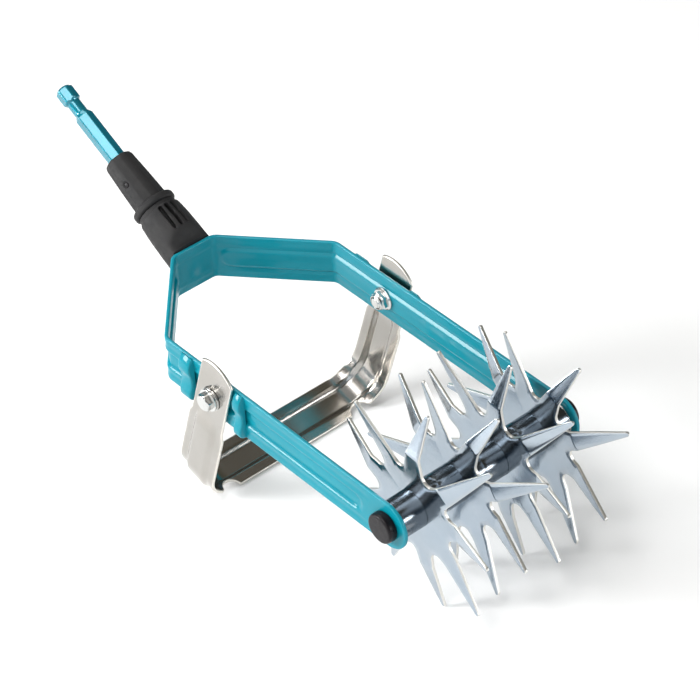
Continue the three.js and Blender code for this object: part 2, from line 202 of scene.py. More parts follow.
def plastic(name, low, high, rough, grain):
    """Moulded plastic with a fine spark-eroded grain."""
    k = Mat(name, Specular_IOR_Level=0.2)
    tone = k.ramp(k.noise(45, 4), ((0.3, low), (0.7, high)))
    # slot floors, marked below zero, are darkened to near black: painted shade in the recesses
    tone = k.mix(k.span(k.edge(), 1, 0, -1, -0.1), tone, (0.001, 0.001, 0.001))
    # rounded rims are mixed towards a lighter grey: a painted highlight
    k.link(k.mix(k.span(k.edge(), 0, 0.35, 0, 1), tone, tuple(min(c * 2.2, 1) for c in high)),
           k.p.inputs["Base Color"])
    k.link(k.span(k.noise(260, 5), rough - 0.08, rough + 0.1), k.p.inputs["Roughness"])
    k.bump((k.noise(1900, 3, 0.6), 0.0003, grain), (k.noise(180, 3), 0.0008, 0.12))
    return k.m


teal = paint("teal_enamel", (0.001, 0.200, 0.258), (0.002, 0.219, 0.282), (0.03, 0.34, 0.44))
teal_rod = paint("teal_rod_enamel", (0.005, 0.175, 0.235), (0.008, 0.20, 0.265),
                 (0.12, 0.5, 0.6), 0.24)
for socket, value in (("Metallic", 0.35), ("Coat Weight", 1.0), ("Coat Roughness", 0.07)):
    teal_rod.node_tree.nodes["Principled BSDF"].inputs[socket].default_value = value
# the warm pale colour given to zinc and nickel is a painted highlight for their rims
zinc = metal("zinc_plated_sheet", (0.36, 0.42, 0.485), (0.42, 0.475, 0.53), (0.13, 0.22),
             (1, 0.15, 1), 0.03, 0.02, (0.80, 0.78, 0.73), 0.012)
# the tube is given a far darker zinc than the wheels: painted dark reflections
tube_zinc_painted_dark = metal("zinc_plated_tube_painted_dark", (0.17, 0.195, 0.22), (0.22, 0.245, 0.27), (0.17, 0.25),
                  (0.08, 1, 1), 0.02, 0.02, None, 0.004)
nickel = metal("bright_strip_steel", (0.41, 0.39, 0.36), (0.46, 0.44, 0.415), (0.17, 0.22),
               (0.06, 1, 1), 0.0, 0.03, (0.80, 0.77, 0.71), 0.012)
bolt = metal("bolt_zinc", (0.60, 0.60, 0.585), (0.70, 0.70, 0.685), (0.17, 0.27),
             (1, 1, 1), 0.0, 0.05, None, 0.0)
sleeve_black = plastic("sleeve_plastic", (0.016, 0.016, 0.017), (0.026, 0.025, 0.025),
                       0.6, 0.3)
cap_black = plastic("cap_plastic", (0.006, 0.005, 0.006), (0.010, 0.008, 0.010), 0.34, 0.15)


# ---- mesh helpers ----------------------------------------------------------------------
def piece(name, parts, material, body, nodes=(), place=None, sharp=38, edge=None):
    """One object from (verts, faces) parts in millimetres, carried into the row frame."""
    t = M @ place if place else M
    verts, faces, rim = [], [], []
    for part in parts:
        n = len(verts)
        verts += [t @ Vector(v) for v in part[0]]
        faces += [tuple(n + i for i in f) for f in part[1]]
        rim += part[2] if len(part) > 2 else [0.0] * len(part[0])
    me = bpy.data.meshes.new(name)
    me.from_pydata(verts, [], faces)
    me.attributes.new("edge", "FLOAT", "POINT").data.foreach_set("value", rim)
    bm = bmesh.new()
    bm.from_mesh(me)
    bmesh.ops.remove_doubles(bm, verts=bm.verts, dist=2e-6)
    bmesh.ops.recalc_face_normals(bm, faces=bm.faces)
    limit = math.radians(sharp)
    for e in bm.edges:
        e.smooth = len(e.link_faces) != 2 or e.calc_face_angle(0) < limit
    for f in bm.faces:
        f.smooth = True
    bm.to_mesh(me)
    bm.free()
    obj = bpy.data.objects.new(name, me)
    bpy.context.scene.collection.objects.link(obj)
    me.materials.append(material)
    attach(obj, body)
    if nodes:
        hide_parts(*nodes)
    return obj


def rounded(profile, radius, steps=3):
    """A closed (radius, along) profile with its corners rounded; points with r 0 stay."""
    out, n = [], len(profile)
    for i in range(n):
        a, p, b = (Vector(profile[(i + d) % n][:2]) for d in (-1, 0, 1))
        r = profile[i][2] if len(profile[i]) > 2 else radius
        u, w = a - p, b - p
        if p.x < 1e-6 or r <= 0 or u.length < 1e-6 or w.length < 1e-6:
            out.append(tuple(p))
            continue
        c = min(r, u.length * 0.45, w.length * 0.45)
        q0, q1 = p + u.normalized() * c, p + w.normalized() * c
        for k in range(steps + 1):
            s = k / steps
            q = q0 * (1 - s) ** 2 + p * 2 * s * (1 - s) + q1 * s * s
            out.append((q.x, q.y))
    return out


def lathe(profile, n=72, shape=None):
    """A closed profile turned about Z; shape(angle, r, z) may change the radius."""
    verts, faces = [], []
    rings = len(profile)
    for k in range(n):
        a = 2 * math.pi * k / n
        for r, z in profile:
            q = shape(a, r, z) if shape and r > 0 else r
            verts.append((q * math.cos(a), q * math.sin(a), z))
    for k in range(n):
        m = (k + 1) % n
        for i in range(rings):
            j = (i + 1) % rings
            if profile[i][0] < 1e-6 and profile[j][0] < 1e-6:
                continue
            if profile[i][0] < 1e-6:
                faces.append((k * rings + i, m * rings + j, k * rings + j))
            elif profile[j][0] < 1e-6:
                faces.append((k * rings + i, m * rings + i, k * rings + j))
            else:
                faces.append((k * rings + i, m * rings + i, m * rings + j, k * rings + j))
    return verts, faces


def hex_shape(flats, soft=0.5):
    """Radius of a hexagon with slightly rounded corners; only outer points follow it."""
    inner = flats / 2

    def shape(a, r, z):
        f = ((a + math.pi / 6) % (math.pi / 3)) - math.pi / 6
        flat = inner / math.cos(f)
        corner = inner / math.cos(math.pi / 6) - soft * 0.3
        return min(r, flat, corner)
    return shape


def plate(verts, faces, half, rim, steps=4):
    """Thickens a sheet both ways and rounds its free edges outward by rim.

    half may be one number or one for each vertex."""
    V = [Vector(v) for v in verts]
    halves = half if isinstance(half, list) else [half] * len(V)
    normal = [Vector() for _ in V]
    units = [[] for _ in V]
    directed = set()
    for f in faces:
        n = Vector()
        for i in range(len(f)):
            p, q = V[f[i]], V[f[(i + 1) % len(f)]]
            n += Vector(((p.y - q.y) * (p.z + q.z), (p.z - q.z) * (p.x + q.x),
                         (p.x - q.x) * (p.y + q.y)))
            directed.add((f[i], f[(i + 1) % len(f)]))
        if n.length < 1e-12:
            continue
        n.normalize()
        for i in f:
            normal[i] += n
            units[i].append(n)
    offset = []
    for i, n in enumerate(normal):
        n.normalize()
        c = min((n.dot(u) for u in units[i]), default=1)
        offset.append(n * (halves[i] / max(c, 0.6)))
    out = [p + o for p, o in zip(V, offset)] + [p - o for p, o in zip(V, offset)]
    # edge marks the rounded rim, where the materials paint a highlight
    edge = [0.0] * len(out)
    n0 = len(V)
    new = [tuple(f) for f in faces] + [tuple(n0 + i for i in reversed(f)) for f in faces]
    free = {a: b for a, b in directed if (b, a) not in directed}
    before = {b: a for a, b in free.items()}
    ring = {}
    for b in free:
        a, c = before[b], free[b]
        n = normal[b]
        o1 = (V[b] - V[a]).cross(n).normalized()
        o2 = (V[c] - V[b]).cross(n).normalized()
        o = (o1 + o2).normalized()
        o = o * (rim / max(o.dot(o1), 0.6))
        chain = [b]
        edge[b] = edge[n0 + b] = 0.15
        for q in range(1, steps):
            f = math.pi / 2 - math.pi * q / steps
            s = math.copysign(abs(math.sin(f)) ** 0.6, math.sin(f))
            chain.append(len(out))
            out.append(V[b] + o * abs(math.cos(f)) ** 0.6 + offset[b] * s)
            edge.append(1.0)
        chain.append(n0 + b)
        ring[b] = chain
    for a, b in free.items():
        for q in range(steps):
            new.append((ring[b][q], ring[a][q], ring[a][q + 1], ring[b][q + 1]))
    return out, new, edge


def grid(rows):
    """Verts and quads of a rectangular grid given as rows of points."""
    n = len(rows[0])
    verts = [p for r in rows for p in r]
    faces = [(i * n + j, i * n + j + 1, (i + 1) * n + j + 1, (i + 1) * n + j)
             for i in range(len(rows) - 1) for j in range(n - 1)]
    return verts, faces


def corner_path(points, radii, step=1.6, bend=12):
    """A polyline with arcs of the given radii, as (point, arc length) samples."""
    pts = [Vector(points[0])]
    for i in range(1, len(points) - 1):
        p = Vector(points[i])
        a = (Vector(points[i - 1]) - p).normalized()
        b = (Vector(points[i + 1]) - p).normalized()
        half = a.angle(b) / 2
        r = radii[i - 1]
        t = r / math.tan(half)
        c = p + (a + b).normalized() * (r / math.sin(half))
        p0, p1 = p + a * t, p + b * t
        u, w = p0 - c, p1 - c
        total = u.angle(w)
        for k in range(bend + 1):
            s = k / bend
            q = (u * math.sin((1 - s) * total) + w * math.sin(s * total)) / math.sin(total)
            pts.append(c + q)
    pts.append(Vector(points[-1]))
    out = [pts[0]]
    for a, b in zip(pts, pts[1:]):
        n = max(1, int((b - a).length / step))
        out += [a.lerp(b, (k + 1) / n) for k in range(n)]
    s, along = 0.0, [0.0]
    for a, b in zip(out, out[1:]):
        s += (b - a).length
        along.append(s)
    return out, along


def ridge(s, z, spans, half, ramp):
    """0 to 1 over long rounded-ended bands of that half height."""
    best = 0.0
    for a, b in spans:
        d = max(a + half - s, 0.0, s - (b - half))
        best = max(best, flank((half + ramp / 2 - math.hypot(d, z)) / ramp))
    return best


# ---- yoke ------------------------------------------------------------------------------
RIM = 1.0                                   # rounding of the strip's edges
BEAD_HALF, BEAD_FLANK, BEAD_DEPTH = 6.2, 2.4, 1.75
BEAD_START = 23                             # from the axle
TIP_ZONE = 40                               # a leg's end is drawn out to a half circle over this
mid = STRIP_T / 2
corners = [(-(LEG_OUT - mid), 0), (-(LEG_OUT - mid), BEND_Y), (-WEB_HALF, WEB_Y - mid),
           (WEB_HALF, WEB_Y - mid), (LEG_OUT - mid, BEND_Y), (LEG_OUT - mid, 0)]
line, run = corner_path(corners, (8, 7, 7, 8))
whole = run[-1]
diagonal = math.hypot(LEG_OUT - mid - WEB_HALF, WEB_Y - mid - BEND_Y)
d1 = BEND_Y + diagonal - 6
spans = [(BEAD_START, d1), (whole - d1, whole - BEAD_START)]
inset = STRIP_H / 2 - RIM
levels = [0, 1.6, 3.0, 4.0, 4.6, 5.0, 5.4, 5.8, 6.2, 6.6, 7.0, 7.4, 7.8, 8.2, 8.8, 10.0,
          11.6, 12.6, 13.5, 14.2, 14.7, 15.05, 15.25, inset]
levels = [-z for z in reversed(levels[1:])] + levels
rows, thick = [], []
for i, p in enumerate(line):
    a, b = line[max(i - 1, 0)], line[min(i + 1, len(line) - 1)]
    t = (b - a).normalized()
    out = Vector((-t.y, t.x))
    near_end = run[i] < TIP_ZONE
    far_end = run[i] > whole - TIP_ZONE
    row = []
    for z in levels:
        cut = math.sqrt(max(inset ** 2 - z * z, 0))
        if near_end:
            s = -cut + (TIP_ZONE + cut) * run[i] / TIP_ZONE
        elif far_end:
            s = whole + cut - (TIP_ZONE + cut) * (whole - run[i]) / TIP_ZONE
        else:
            s = run[i]
        if near_end:
            q = Vector((line[0].x, s))
        elif far_end:
            q = Vector((line[-1].x, whole - s))
        else:
            q = p
        bead = ridge(s, z, spans, BEAD_HALF, BEAD_FLANK)
        # the flat beside the bead is drawn in a little, and the bead's floor is crowned
        roll = 0.35 * math.exp(-((abs(z) - 10.6) / 1.5) ** 2) - 0.3 * bead * math.exp(
            -(z / 3.5) ** 2)
        q = q - out * (BEAD_DEPTH * bead + roll * min(1, max(0, (s - 14) / 8, 0))
                       * min(1, max(0, (whole - s - 14) / 8)))
        row.append((q.x, q.y, z))
        thick.append(STRIP_T / 2 - 0.2 * bead)
    rows.append(row)
v, f = grid(rows)
piece("yoke_strip", [plate(v, f, thick, RIM, 6)], teal, "frame",
      ["yoke_frame"], sharp=50)


def pad(s, y0, y1):
    """A pressed stop pad: a solid block whose outer face is stepped like the leg."""
    half = STRIP_H / 2
    face = [(-half + 0.1, 1.4), (-half + 0.5, 2.4), (-15.0, 3.5), (-13.6, 4.2),
            (-12.0, 4.5), (-10.0, 4.45), (-8.4, 4.1), (-7.0, 3.5), (-5.6, 3.0), (-3.6, 2.7),
            (0, 2.6), (2.0, 2.9), (3.6, 3.5), (5.0, 4.1), (6.6, 4.45), (8.6, 4.5),
            (10.6, 4.2), (12.6, 3.4), (14.4, 2.4), (half - 0.6, 1.4), (half - 0.1, 0.9)]
    steps = [(y0, 1.1), (y0 + 0.25, 0.55), (y0 + 0.6, 0.2), (y0 + 1.1, 0.0),
             (y1 - 1.1, 0.0), (y1 - 0.6, 0.2), (y1 - 0.25, 0.55), (y1, 1.1)]
    verts, faces = [], []
    for y, d in steps:
        ring = [(z * (1 - d / half * 0.6), LEG_OUT + max(x - d, 0.4)) for z, x in face]
        ring += [(half - 0.6, LEG_OUT - 0.4), (-half + 0.6, LEG_OUT - 0.4)]
        verts += [(s * x, y, z) for z, x in ring]
    n = len(face) + 2
    for i in range(len(steps) - 1):
        for j in range(n):
            k = (j + 1) % n
            faces.append((i * n + j, i * n + k, (i + 1) * n + k, (i + 1) * n + j))
    faces.append(tuple(range(n)))
    faces.append(tuple(range((len(steps) - 1) * n, len(steps) * n)))
    rim = [min(1.0, d) for _, d in steps for _ in range(n)]
    return verts, faces, rim


for side, s in SIDES:
    for k, (y0, y1) in enumerate(PADS):
        piece(f"stop_pad_{side}_{k + 1}", [pad(s, y0, y1)], teal, "frame",
              ["yoke_frame"], sharp=55)


# ---- handle ----------------------------------------------------------------------------
rod = rounded([(0, 2), (6, 2, 0), (6, 60, 0), (6.7, 60, 0), (6.7, 118.0, 1.2),
               (4.9, 121.0, 0.8), (4.7, 121.8, 0.8), (4.7, 130.6, 0.8), (5.3, 131.4, 0.5),
               (6.7, 132.8, 0.6), (6.7, 140.7, 0.8), (4.6, 143, 0.7), (0, 143)], 0, 4)
rod_hex = hex_shape(11.2)
knob_hex = hex_shape(11.4, 1.2)


def tang_shape(a, r, z):
    if 60 <= z < 121:
        return rod_hex(a, r, z)
    if z > 131:
        return knob_hex(a, r, z)
    return r


piece("tang_rod", [lathe(rod, 96, tang_shape)], teal_rod, "frame", ["tang"],
      HANDLE, sharp=28)

upper = rounded([(7.1, 44.2, 0), (12.0, 44.2, 0.8), (11.7, 47, 4), (11.2, 60, 0),
                 (10.1, 79.2, 3), (9.3, 81.5, 1.2), (7.1, 81.5, 0.5)], 0.5, 4)


def upper_shape(a, r, z):
    """Six faint flats, as on the rod inside."""
    if r < 8:
        return r
    f = ((a + math.pi / 6) % (math.pi / 3)) - math.pi / 6
    flat = (r * 0.955) / math.cos(f)
    return min(r, flat + 0.15)


pin_dir = math.radians(-90 - 60)       # towards the near side, 60 degrees from the top


def dimpled(part, angle, height, radius, depth):
    """Pushes a round dimple into a turned part."""
    verts = []
    c = Vector((math.cos(angle), math.sin(angle)))
    for v in part[0]:
        p = Vector(v)
        r = Vector((p.x, p.y))
        if r.length > 8 and r.dot(c) > 0:
            side = r.x * -c.y + r.y * c.x
            d = math.hypot(side, p.z - height)
            k = 1 - smooth((d - radius * 0.7) / (radius * 0.6))
            if k > 0:
                r *= 1 - depth * k / r.length
                p = Vector((r.x, r.y, p.z))
        verts.append(tuple(p))
    return verts, part[1]


def densify(profile, step):
    out = []
    n = len(profile)
    for i in range(n):
        a, b = Vector(profile[i]), Vector(profile[(i + 1) % n])
        m = max(1, int((b - a).length / step))
        out += [tuple(a.lerp(b, k / m)) for k in range(m)]
    return out


piece("sleeve_upper", [dimpled(lathe(densify(upper, 0.9), 144, upper_shape), pin_dir, 61.4,
                               2.2, 1.1)],
      sleeve_black, "frame", ["upper_sleeve"], HANDLE, sharp=40)
pin = lathe(rounded([(0, 0), (1.6, 0, 0.3), (1.6, 3.1, 0.5), (0, 3.1)], 0.3, 4), 32)
pin_place = (HANDLE @ Matrix.Translation((0, 0, 61.4)) @ Matrix.Rotation(pin_dir, 4, "Z")
             @ Matrix.Rotation(math.radians(90), 4, "Y") @ Matrix.Translation((0, 0, 7.4)))
piece("sleeve_pin_head", [pin], cap_black, "frame", ["sleeve_pin"],
      pin_place)
ring = rounded([(7.1, 38.9), (14.0, 38.9, 0.8), (15.1, 39.9, 0.8), (15.1, 43.0, 0.9),
                (14.2, 43.9, 0.6), (7.1, 43.9)], 0.3, 4)
piece("sleeve_flange", [lathe(ring, 96)], sleeve_black, "frame",
      ["sleeve_collar"], HANDLE, sharp=40)


def lower_sleeve():
    """Turned body with three tapered slots whose floors get a painted shade; its foot follows
    the back of the web.
    """
    prof = rounded([(7.1, -24, 0), (16.2, -24, 0), (16.2, 8, 6), (15.6, 26, 6),
                    (14.7, 35, 1.2), (13.6, 36.2, 0.5), (13.6, 38.6, 0.4), (7.1, 38.6, 0.3)],
                   0.4, 4)
    prof = densify(prof, 1.0)
    verts, faces = lathe(prof, 288)
    out, rim = [], []
    back = HANDLE.inverted()
    wall = WEB_Y + 0.35
    for v in verts:
        p = Vector(v)
        r = math.hypot(p.x, p.y)
        painted_slot_shade = 0.0
        if r > 9 and p.z < 36.1:
            a = math.degrees(math.atan2(p.y, p.x))
            for turn in (-108.5, -90, -71.5):
                across = math.radians((a - turn + 180) % 360 - 180) * r
                wide = 0.7 + 0.45 * smooth((p.z - 17) / 17)
                d = math.hypot(across, max(18 - p.z, 0, p.z - 33.5))
                k = 1 - smooth((d - wide) / 0.5)
                if k > 0:
                    q = (r - 2.6 * k) / r
                    p = Vector((p.x * q, p.y * q, p.z))
                    # the slot floor is marked for near-black painted shade
                    painted_slot_shade = -k
        w = HANDLE @ p
        # the foot is cut along the web and a little above the strip's lower edge
        if w.y < wall:
            up = (HANDLE.to_3x3() @ Vector((0, 0, 1)))
            w += up * ((wall - w.y) / up.y)
        if w.z < -STRIP_H / 2 + 2:
            w.z = -STRIP_H / 2 + 2
        # the shoulder rolls down to the web's upper edge
        top = STRIP_H / 2 + 0.8
        if w.z > top and r > 9:
            w.z += (top - w.z) * 0.85 * smooth((wall + 9 - w.y) / 9) ** 2
        out.append(tuple(back @ w))
        rim.append(painted_slot_shade)
    return out, faces, rim


piece("sleeve_lower", [lower_sleeve()], sleeve_black, "frame",
      ["lower_sleeve"], HANDLE, sharp=50)

# ---- axle, caps, tube -------------------------------------------------------------------
ALONG = Matrix.Rotation(math.radians(90), 4, "Y")      # lathe Z to +X


def sided(s):
    return ALONG if s > 0 else Matrix.Rotation(math.pi, 4, "Z") @ ALONG


cap = rounded([(0, 73.8), (5.3, 73.8), (5.3, 70.3), (9.6, 70.3), (10.0, 70.7, 0.3),
               (10.0, 74.9, 1.0), (9.3, 76.05, 0.8), (8.0, 76.2, 0.4), (0, 76.2)], 0.2, 5)
washer = rounded([(5.3, 65.8), (12.4, 65.8), (12.4, 67.2), (5.3, 67.2)], 0.35, 3)
for side, s in SIDES:
    piece(f"cap_{side}", [lathe(cap, 96)], cap_black, "frame",
          [f"{side}_axle_cap"], sided(s), sharp=40)
    piece(f"thrust_ring_{side}", [lathe(washer, 80)], bolt, "frame",
          [f"{side}_thrust_washer"], sided(s), sharp=40)

star_x = [STAR_X0 + STAR_STEP * k for k in range(4)]
ends = [-TUBE_END - 1.3, *star_x, TUBE_END + 1.3]
TUBE_GAP = 1.08                      # from a star's middle plane to the next section
TUBE_IN, TUBE_EDGE, GROOVE_R = 10.6, 12.36, 12.45
for k in range(5):
    x0, x1 = ends[k] + TUBE_GAP, ends[k + 1] - TUBE_GAP
    prof = [(TUBE_IN, x0, 0.1), (TUBE_EDGE, x0, 0.05), (TUBE_R, x0 + 0.14, 0.05),
            (TUBE_R, x0 + 0.4, 0)]
    if 0 < k < 4:
        g = x0 + (x1 - x0) * 0.47
        prof += [(TUBE_R, g - 0.3, 0), (GROOVE_R, g - 0.1, 0), (GROOVE_R, g + 0.1, 0),
                 (TUBE_R, g + 0.3, 0)]
    prof += [(TUBE_R, x1 - 0.4, 0), (TUBE_R, x1 - 0.14, 0.05), (TUBE_EDGE, x1, 0.05),
             (TUBE_IN, x1, 0.1)]
    seam = math.radians(118)            # the rolled seam, towards the handle from the top

    def seamed(a, r, z, seam=seam):
        if r < 12:
            return r
        d = abs((a - seam + math.pi) % (2 * math.pi) - math.pi) * r
        return r - 0.08 * (1 - smooth(d / 0.5))

    part = lathe(densify(rounded(prof, 0.3, 3), 2.0), 288, seamed)
    piece(f"tube_section_{k + 1}", [part], tube_zinc_painted_dark, "rotor",
          [f"tube_collar_{k + 1}"], ALONG, sharp=40)

# ---- star wheels ------------------------------------------------------------------------
FOLD_R = (40, 36, 45, 38, 36, 38, 40, 38, 40)
SPREAD = (10, -6.8, 6.6, 16.5, -8.6, -4.5, 5.4, 9, -4.5)
ROOT = (0, -2.2, -1.8, 0, 0.8, -0.6, 0.6, 0, 0.5)       # set of the metal between teeth
STAR_RIM = 0.32


def star(phase):
    """One blanked plate: hub, round gaps, nine teeth, each folded along its own chord."""
    half = math.radians(180 / TEETH)
    gap_at, gap_r = 36.2, 5.3
    cx, cy = gap_at * math.cos(half), gap_at * math.sin(half)
    arc = []
    for i in range(6):                   # gap bottom to flank, one side of a tooth
        a = math.radians(200 + (261.9 - 200) * i / 5)
        arc.append((cx + (gap_r + STAR_RIM) * math.cos(a),
                    cy + (gap_r + STAR_RIM) * math.sin(a)))
    x_base, w_base = arc[-1]

    def width(x):
        if x < 56:
            return w_base + (3.9 - STAR_RIM - w_base) * (x - x_base) / (56 - x_base)
        if x < 71.4:
            return 3.9 - STAR_RIM + (1.55 - 3.9) * (x - 56) / 15.4
        return (1.55 - STAR_RIM) * math.sqrt(max(1 - ((x - 71.4) / 1.6) ** 2, 0.05))

    verts, faces, index = [], [], {}

    def lift(k, x, y):
        """Out-of-plane set of the hub and tooth base before the fold."""
        ramp = max((x - 11.7) / (29.1 - 11.7), 0.0)
        m = (ROOT[k] + ROOT[k - 1]) / 2
        d = (ROOT[k] - ROOT[k - 1]) / 2
        return ramp * (m + d * y / (max(x, 1.0) * math.tan(half)))

    def put(k, x, y):
        f = FOLD_R[k]
        if x <= f:
            o, r = lift(k, x, y), x
        else:
            base = lift(k, f, 0)
            s = (SPREAD[k] - base) / (TIP_R - f)
            g = (lift(k, f, y) - base)
            # the bend is a short radius, not a crease
            t = x - f
            o = base + g + s * (t - 0.5 * min(t, 1.6) * (1 - min(t, 1.6) / 3.2) * 0.4)
            r = f + t * math.sqrt(1 - s * s)
        a = phase + k * 2 * half
        q = (o, r * math.cos(a) - y * math.sin(a), r * math.sin(a) + y * math.cos(a))
        key = tuple(round(c, 3) for c in q)
        if key not in index:
            index[key] = len(verts)
            verts.append(q)
        return index[key]

    for k in range(TEETH):
        # hub sector as a fan of rays, minus side to plus side
        rays = [(x, -y) for x, y in arc]
        rays += [(x_base, w_base * t) for t in (-0.5, 0, 0.5)]
        rays += list(reversed(arc))
        fan = []
        for x, y in rays:
            r = math.hypot(x, y)
            fan.append([put(k, x * q / r, y * q / r) for q in (8.2, 12.4)]
                       + [put(k, x * u, y * u) for u in (0.55, 0.7, 0.85, 1.0)])
        for a, b in zip(fan, fan[1:]):
            for i in range(5):
                faces.append((a[i], b[i], b[i + 1], a[i + 1]))
        f = FOLD_R[k]
        xs = [x_base]
        xs += [x for x in (f - 0.9, f - 0.3, f + 0.3, f + 0.9, f + 1.7) if x > x_base + 0.2]
        x = f + 5
        while x < 71:
            xs.append(x)
            x += 4.5
        xs += [71.4, 72.2, 72.7, 72.95]
        grid_rows = []
        for i, x in enumerate(xs):
            w = width(x) if i else w_base
            grid_rows.append([put(k, x, w * t) for t in (-1, -0.5, 0, 0.5, 1)])
        for a, b in zip(grid_rows, grid_rows[1:]):
            for i in range(4):
                faces.append((a[i], a[i + 1], b[i + 1], b[i]))
    return verts, faces


def spread_normals(part):
    """Turns every face the same way round, towards +X."""
    verts, faces = part
    out = []
    for f in faces:
        a, b, c = (Vector(verts[i]) for i in (f[0], f[1], f[2]))
        out.append(f if (b - a).cross(c - a).x > 0 else tuple(reversed(f)))
    return verts, out


for k in range(4):
    base = spread_normals(star(math.radians(STAR_PHASE + (k % 2) * 180 / TEETH)))
    piece(f"star_plate_{k + 1}", [plate(*base, STAR_T / 2, STAR_RIM, 5)], zinc, "rotor",
          [f"star_wheel_{k + 1}"], Matrix.Translation((star_x[k], 0, 0)),
          sharp=40)

# ---- weeding blade ----------------------------------------------------------------------
CROWN_R = 22                                # the arms' tops
CROWN_ZONE = 24                             # an arm's end is drawn into its crown over this
NOTCH_X, NOTCH_R = 54, 6.5                  # cut-outs in the cutting edge
NOTCH_ROOM = -2.0                           # the columns in front of this make room for them
RIB_HALF, RIB_FLANK, RIB_DEPTH = 8.0, 3.6, 2.1
RIB_FADE = 17                               # the bead fades in over this below an arm's bolt
BOLT_BORE, BORE_L = 4.3, 160


def blade():
    """U-shaped strip with a pressed bead; the bead starts below each bolt."""
    m = BLADE_IN + BLADE_T / 2
    low = -BLADE_DROP + BLADE_T / 2
    path, along = corner_path([(-m, BLADE_UP), (-m, low), (m, low), (m, BLADE_UP)],
                              (BLADE_CORNER - 1, BLADE_CORNER - 1), 0.8, 24)
    total = along[-1]
    rim = 0.8
    w = BLADE_W / 2 - rim
    cols = [0, 1.5, 3, 4.5, 5.6, 6.4, 7.2, 8, 8.8, 9.6, 10.6, 11.8, 13, 13.9, w]
    cols = [-c for c in reversed(cols[1:])] + cols
    spans = [(BLADE_UP + 17, total - BLADE_UP - 17)]
    crown = CROWN_R - rim
    shoulder = BLADE_UP - CROWN_ZONE
    rows, thick = [], []
    for i, p in enumerate(path):
        a, b = path[max(i - 1, 0)], path[min(i + 1, len(path) - 1)]
        t = (b - a).normalized()
        out = Vector((t.y, -t.x))        # away from the opening of the U
        row = []
        for y in cols:
            s = along[i]
            q = Vector(p)
            end = min(s, total - s)
            # the arms are narrower round their pivots
            narrow = 1 - (1 - (ARM_W / 2 - rim) / w) * smooth((BLADE_UP + 31 - end) / 8)
            wide = y * narrow
            if end < CROWN_ZONE:
                top = BLADE_UP - rim - (crown - math.sqrt(crown ** 2 - wide * wide))
                q.y = shoulder + (top - shoulder) * (1 - end / CROWN_ZONE)
            # round cut-outs in the cutting edge push the front columns back
            for n in (-NOTCH_X, NOTCH_X):
                if q.y < low + 8 and abs(q.x - n) < NOTCH_R + rim:
                    reach = -BLADE_W / 2 + math.sqrt((NOTCH_R + rim) ** 2 - (q.x - n) ** 2)
                    if reach > -w and wide < NOTCH_ROOM:
                        wide = reach + (wide + w) / (NOTCH_ROOM + w) * (NOTCH_ROOM - reach)
            bead = ridge(s, wide, spans, RIB_HALF, RIB_FLANK)
            bead *= smooth((end - BLADE_UP - 14) / RIB_FADE)
            row.append((q.x + out.x * RIB_DEPTH * bead, wide, q.y + out.y * RIB_DEPTH * bead))
            thick.append(BLADE_T / 2)
        rows.append(row)
    v, f = grid(rows)
    return plate(v, f, thick, rim, 6)


def bored(obj, place, radius, length, sharp):
    """Cuts one round hole, along the local Z of place, right through a piece."""
    tool = bpy.data.objects.new("bore_tool", bpy.data.meshes.new("bore_tool"))
    bm = bmesh.new()
    bmesh.ops.create_cone(bm, cap_ends=True, segments=64, radius1=radius, radius2=radius,
                          depth=length, matrix=place)
    bm.to_mesh(tool.data)
    bm.free()
    bpy.context.scene.collection.objects.link(tool)
    mod = obj.modifiers.new("bore", "BOOLEAN")
    mod.operation, mod.solver, mod.object = "DIFFERENCE", "EXACT", tool
    graph = bpy.context.evaluated_depsgraph_get()
    me = bpy.data.meshes.new_from_object(obj.evaluated_get(graph))
    obj.modifiers.clear()
    bm = bmesh.new()
    bm.from_mesh(me)
    for e in bm.edges:
        e.smooth = len(e.link_faces) != 2 or e.calc_face_angle(0) < math.radians(sharp)
    bm.to_mesh(me)
    bm.free()
    obj.data = me
    bpy.data.objects.remove(tool)


blade_strip = piece("blade_strip", [blade()], nickel, "blade",
                    ["weeding_blade"], PIVOT, sharp=50)
# both bolts pass through on one line
bored(blade_strip, M @ PIVOT @ ALONG, BOLT_BORE, BORE_L, 50)


# ---- pivots ------------------------------------------------------------------------------
def hexed_head(flats, base, top):
    """Chamfered hexagon between two heights."""
    r = flats / math.sqrt(3) + 0.2
    prof = [(0, base), (r, base, 0), (r, top - 1.0, 0), (r - 0.6, top - 0.65, 0),
            (flats / 2 - 0.3, top, 0.2), (0, top)]
    return lathe(densify(rounded(prof, 0, 3), 1.2), 96, hex_shape(flats))


